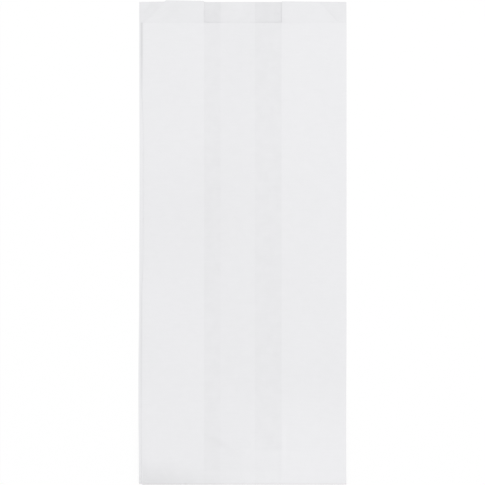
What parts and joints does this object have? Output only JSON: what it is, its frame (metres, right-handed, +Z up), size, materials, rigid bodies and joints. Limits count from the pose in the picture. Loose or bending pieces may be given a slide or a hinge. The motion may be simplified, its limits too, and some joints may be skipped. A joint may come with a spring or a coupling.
{
  "type": "paper snack bag",
  "caption": "Flat white paper snack bag with tucked side gussets, a stepped mouth with a longer back lip, a lap seam down its back and a turned-under glued bottom.",
  "frame": {"origin": "centre of the bag's outline, on the surface that it lies on", "axes": "+X across the bag, +Y along it and out of its mouth, +Z up out of the front panel"},
  "size_m": [0.12, 0.2804, 0.0018],
  "materials": {
    "white_paper": "machine-glazed thin kraft, semi-matt, slightly see-through"
  },
  "bodies": {
    "root": {"paper_bag": "white_paper"}
  },
  "joints": []
}
